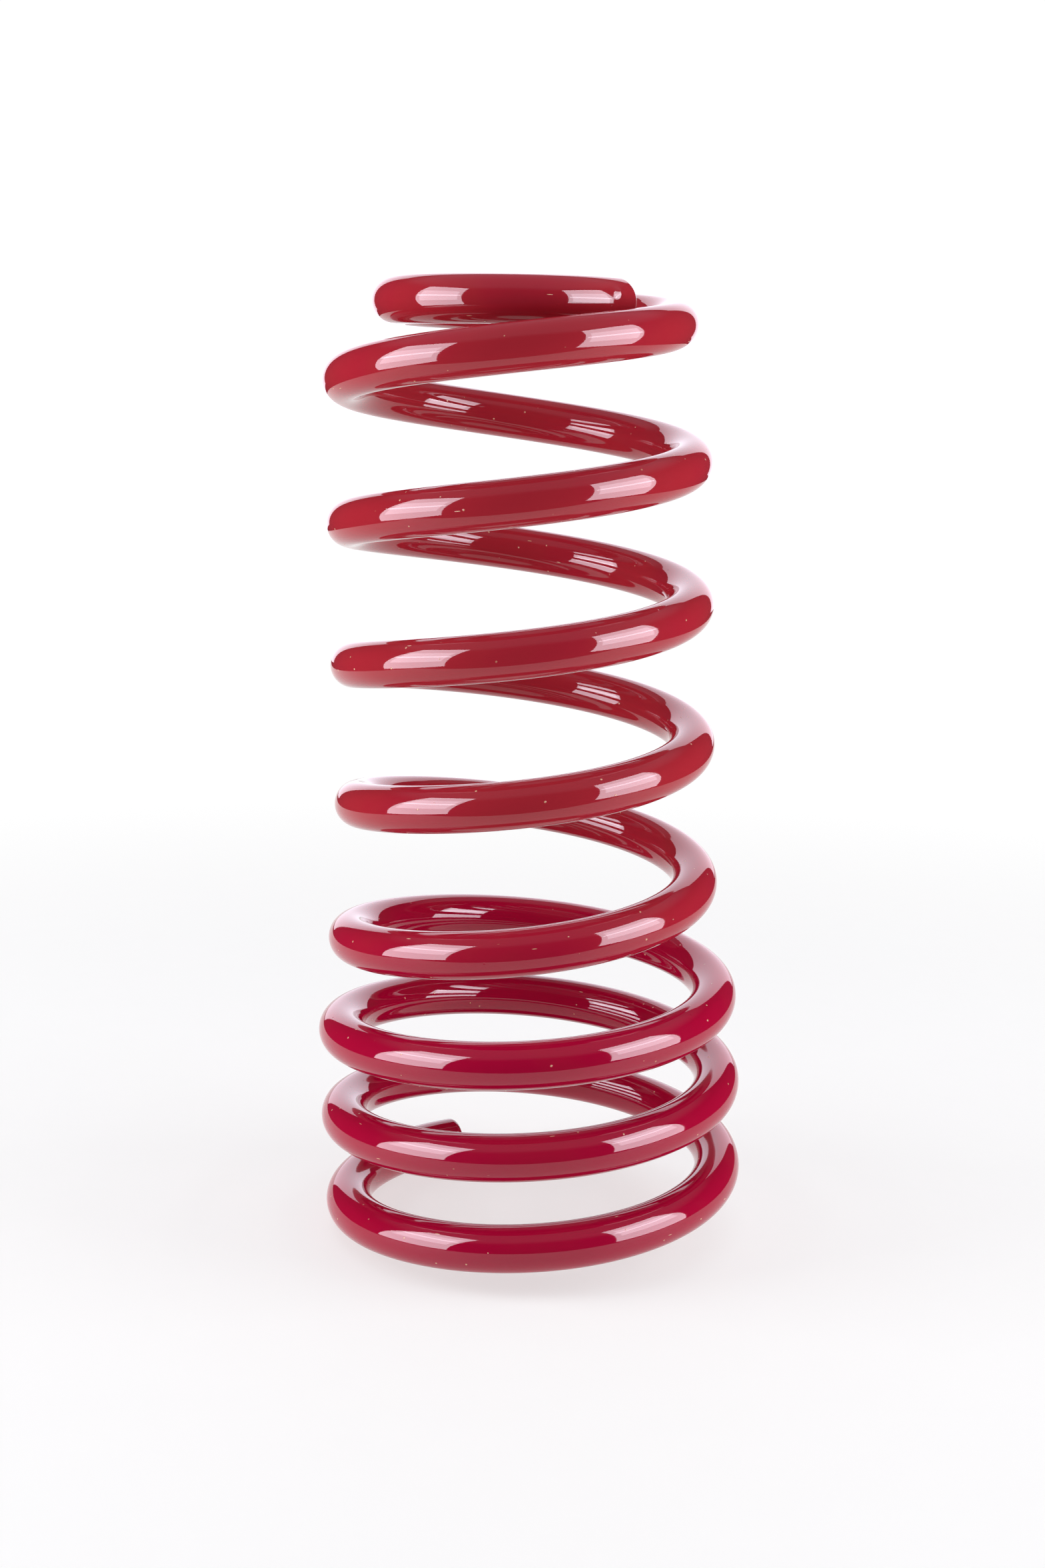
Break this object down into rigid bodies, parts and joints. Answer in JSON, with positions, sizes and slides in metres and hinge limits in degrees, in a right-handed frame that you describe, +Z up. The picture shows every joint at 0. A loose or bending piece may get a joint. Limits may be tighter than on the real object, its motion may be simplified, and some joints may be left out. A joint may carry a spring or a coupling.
{
  "type": "coil spring",
  "caption": "Progressive-rate helical compression spring for a car's suspension, close coils below, open coils above, upper end coil wound inwards.",
  "frame": {"origin": "on the lower seat plane, under the middle of the spring", "axes": "+Z up the spring from its lower end coil to its upper end coil, -Y towards the viewer in the catalogue view"},
  "size_m": [0.1232, 0.1241, 0.2702],
  "materials": {
    "red_powder_coat": "glossy red powder coat over spring steel"
  },
  "bodies": {
    "lower_end": {"lower_end_coil": "red_powder_coat"},
    "close_1_back": {"close_coil_1_back": "red_powder_coat"},
    "close_1_left": {"close_coil_1_left": "red_powder_coat"},
    "close_1_front": {"close_coil_1_front": "red_powder_coat"},
    "close_1_right": {"close_coil_1_right": "red_powder_coat"},
    "close_2_back": {"close_coil_2_back": "red_powder_coat"},
    "close_2_left": {"close_coil_2_left": "red_powder_coat"},
    "close_2_front": {"close_coil_2_front": "red_powder_coat"},
    "close_2_right": {"close_coil_2_right": "red_powder_coat"},
    "close_3_back": {"close_coil_3_back": "red_powder_coat"},
    "close_3_left": {"close_coil_3_left": "red_powder_coat"},
    "middle": {"middle_coil_front": "red_powder_coat"},
    "open_1_right": {"open_coil_1_right": "red_powder_coat"},
    "open_1_back": {"open_coil_1_back": "red_powder_coat"},
    "open_1_left": {"open_coil_1_left": "red_powder_coat"},
    "open_1_front": {"open_coil_1_front": "red_powder_coat"},
    "open_2_right": {"open_coil_2_right": "red_powder_coat"},
    "open_2_back": {"open_coil_2_back": "red_powder_coat"},
    "open_2_left": {"open_coil_2_left": "red_powder_coat"},
    "open_2_front": {"open_coil_2_front": "red_powder_coat"},
    "open_3_right": {"open_coil_3_right": "red_powder_coat"},
    "open_3_back": {"open_coil_3_back": "red_powder_coat"},
    "open_3_left": {"open_coil_3_left": "red_powder_coat"},
    "open_3_front": {"open_coil_3_front": "red_powder_coat"},
    "open_4_right": {"open_coil_4_right": "red_powder_coat"},
    "open_4_back": {"open_coil_4_back": "red_powder_coat"},
    "open_4_left": {"open_coil_4_left": "red_powder_coat"},
    "open_4_front": {"open_coil_4_front": "red_powder_coat"},
    "upper_end": {"upper_end_coil": "red_powder_coat"}
  },
  "joints": [
    {"name": "close_coils_compress", "type": "slide", "parent": "lower_end", "child": "middle", "axis": [0, 0, -1], "range_m": [0, 0.023], "stiffness_N_per_m": 85000},
    {"name": "open_coils_compress", "type": "slide", "parent": "middle", "child": "upper_end", "axis": [0, 0, -1], "range_m": [0, 0.087], "stiffness_N_per_m": 78000},
    {"name": "close_1_back_slide", "type": "slide", "parent": "lower_end", "child": "close_1_back", "axis": [0, 0, -1], "range_m": [0, 0.0021]},
    {"name": "close_1_left_slide", "type": "slide", "parent": "lower_end", "child": "close_1_left", "axis": [0, 0, -1], "range_m": [0, 0.00419]},
    {"name": "close_1_front_slide", "type": "slide", "parent": "lower_end", "child": "close_1_front", "axis": [0, 0, -1], "range_m": [0, 0.00628]},
    {"name": "close_1_right_slide", "type": "slide", "parent": "lower_end", "child": "close_1_right", "axis": [0, 0, -1], "range_m": [0, 0.00837]},
    {"name": "close_2_back_slide", "type": "slide", "parent": "lower_end", "child": "close_2_back", "axis": [0, 0, -1], "range_m": [0, 0.01047]},
    {"name": "close_2_left_slide", "type": "slide", "parent": "lower_end", "child": "close_2_left", "axis": [0, 0, -1], "range_m": [0, 0.01256]},
    {"name": "close_2_front_slide", "type": "slide", "parent": "lower_end", "child": "close_2_front", "axis": [0, 0, -1], "range_m": [0, 0.01465]},
    {"name": "close_2_right_slide", "type": "slide", "parent": "lower_end", "child": "close_2_right", "axis": [0, 0, -1], "range_m": [0, 0.01674]},
    {"name": "close_3_back_slide", "type": "slide", "parent": "lower_end", "child": "close_3_back", "axis": [0, 0, -1], "range_m": [0, 0.01883]},
    {"name": "close_3_left_slide", "type": "slide", "parent": "lower_end", "child": "close_3_left", "axis": [0, 0, -1], "range_m": [0, 0.02092]},
    {"name": "open_1_right_slide", "type": "slide", "parent": "middle", "child": "open_1_right", "axis": [0, 0, -1], "range_m": [0, 0.00513]},
    {"name": "open_1_back_slide", "type": "slide", "parent": "middle", "child": "open_1_back", "axis": [0, 0, -1], "range_m": [0, 0.01025]},
    {"name": "open_1_left_slide", "type": "slide", "parent": "middle", "child": "open_1_left", "axis": [0, 0, -1], "range_m": [0, 0.01536]},
    {"name": "open_1_front_slide", "type": "slide", "parent": "middle", "child": "open_1_front", "axis": [0, 0, -1], "range_m": [0, 0.02048]},
    {"name": "open_2_right_slide", "type": "slide", "parent": "middle", "child": "open_2_right", "axis": [0, 0, -1], "range_m": [0, 0.0256]},
    {"name": "open_2_back_slide", "type": "slide", "parent": "middle", "child": "open_2_back", "axis": [0, 0, -1], "range_m": [0, 0.03072]},
    {"name": "open_2_left_slide", "type": "slide", "parent": "middle", "child": "open_2_left", "axis": [0, 0, -1], "range_m": [0, 0.03583]},
    {"name": "open_2_front_slide", "type": "slide", "parent": "middle", "child": "open_2_front", "axis": [0, 0, -1], "range_m": [0, 0.04095]},
    {"name": "open_3_right_slide", "type": "slide", "parent": "middle", "child": "open_3_right", "axis": [0, 0, -1], "range_m": [0, 0.04607]},
    {"name": "open_3_back_slide", "type": "slide", "parent": "middle", "child": "open_3_back", "axis": [0, 0, -1], "range_m": [0, 0.05119]},
    {"name": "open_3_left_slide", "type": "slide", "parent": "middle", "child": "open_3_left", "axis": [0, 0, -1], "range_m": [0, 0.0563]},
    {"name": "open_3_front_slide", "type": "slide", "parent": "middle", "child": "open_3_front", "axis": [0, 0, -1], "range_m": [0, 0.06142]},
    {"name": "open_4_right_slide", "type": "slide", "parent": "middle", "child": "open_4_right", "axis": [0, 0, -1], "range_m": [0, 0.06654]},
    {"name": "open_4_back_slide", "type": "slide", "parent": "middle", "child": "open_4_back", "axis": [0, 0, -1], "range_m": [0, 0.07166]},
    {"name": "open_4_left_slide", "type": "slide", "parent": "middle", "child": "open_4_left", "axis": [0, 0, -1], "range_m": [0, 0.07677]},
    {"name": "open_4_front_slide", "type": "slide", "parent": "middle", "child": "open_4_front", "axis": [0, 0, -1], "range_m": [0, 0.08189]}
  ],
  "couplings": [
    {"joint": "close_1_back_slide", "follows": "close_coils_compress", "ratio": 0.090909},
    {"joint": "close_1_left_slide", "follows": "close_coils_compress", "ratio": 0.18182},
    {"joint": "close_1_front_slide", "follows": "close_coils_compress", "ratio": 0.27273},
    {"joint": "close_1_right_slide", "follows": "close_coils_compress", "ratio": 0.36364},
    {"joint": "close_2_back_slide", "follows": "close_coils_compress", "ratio": 0.45454},
    {"joint": "close_2_left_slide", "follows": "close_coils_compress", "ratio": 0.54546},
    {"joint": "close_2_front_slide", "follows": "close_coils_compress", "ratio": 0.63636},
    {"joint": "close_2_right_slide", "follows": "close_coils_compress", "ratio": 0.72727},
    {"joint": "close_3_back_slide", "follows": "close_coils_compress", "ratio": 0.81818},
    {"joint": "close_3_left_slide", "follows": "close_coils_compress", "ratio": 0.90909},
    {"joint": "open_1_right_slide", "follows": "open_coils_compress", "ratio": 0.058824},
    {"joint": "open_1_back_slide", "follows": "open_coils_compress", "ratio": 0.11765},
    {"joint": "open_1_left_slide", "follows": "open_coils_compress", "ratio": 0.17647},
    {"joint": "open_1_front_slide", "follows": "open_coils_compress", "ratio": 0.23529},
    {"joint": "open_2_right_slide", "follows": "open_coils_compress", "ratio": 0.29412},
    {"joint": "open_2_back_slide", "follows": "open_coils_compress", "ratio": 0.35294},
    {"joint": "open_2_left_slide", "follows": "open_coils_compress", "ratio": 0.41176},
    {"joint": "open_2_front_slide", "follows": "open_coils_compress", "ratio": 0.47059},
    {"joint": "open_3_right_slide", "follows": "open_coils_compress", "ratio": 0.52941},
    {"joint": "open_3_back_slide", "follows": "open_coils_compress", "ratio": 0.58823},
    {"joint": "open_3_left_slide", "follows": "open_coils_compress", "ratio": 0.64706},
    {"joint": "open_3_front_slide", "follows": "open_coils_compress", "ratio": 0.70588},
    {"joint": "open_4_right_slide", "follows": "open_coils_compress", "ratio": 0.76471},
    {"joint": "open_4_back_slide", "follows": "open_coils_compress", "ratio": 0.82353},
    {"joint": "open_4_left_slide", "follows": "open_coils_compress", "ratio": 0.88235},
    {"joint": "open_4_front_slide", "follows": "open_coils_compress", "ratio": 0.94118}
  ]
}
